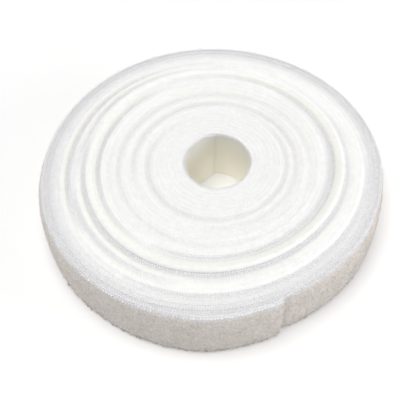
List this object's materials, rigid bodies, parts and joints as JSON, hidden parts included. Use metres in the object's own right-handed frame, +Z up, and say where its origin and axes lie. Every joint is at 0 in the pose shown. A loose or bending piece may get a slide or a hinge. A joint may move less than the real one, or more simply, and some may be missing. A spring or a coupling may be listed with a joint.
{
  "type": "hook and loop tape roll",
  "caption": "Flat coreless roll of white loop fastening tape wound with its cream release liner, with a round bore and an outer end that lifts and peels.",
  "frame": {"origin": "centre of the roll's box on the surface that it lies on, about 3 mm from the axis of the bore", "axes": "+Z up along the bore, -Y towards the viewer of the picture, +X to the viewer's right"},
  "size_m": [0.1302, 0.1288, 0.0262],
  "materials": {
    "loop_pile": "soft white loop pile on a woven ground",
    "release_liner": "smooth cream release liner"
  },
  "bodies": {
    "roll": {"wound_loop_tape": "loop_pile", "wound_release_liner": "release_liner"},
    "tape_end": {"loop_tape_end": "loop_pile"},
    "liner_end": {"release_liner_end": "release_liner"}
  },
  "joints": [
    {"name": "tape_end_lift", "type": "hinge", "parent": "roll", "child": "tape_end", "pos_m": [-0.00866, -0.06415, 0.0125], "axis": [0, 0, -1], "range_deg": [0, 80]},
    {"name": "liner_end_peel", "type": "hinge", "parent": "roll", "child": "liner_end", "pos_m": [-0.00866, -0.06415, 0.0125], "axis": [0, 0, -1], "range_deg": [0, 36]}
  ],
  "couplings": [
    {"joint": "liner_end_peel", "follows": "tape_end_lift", "ratio": 0.45}
  ]
}
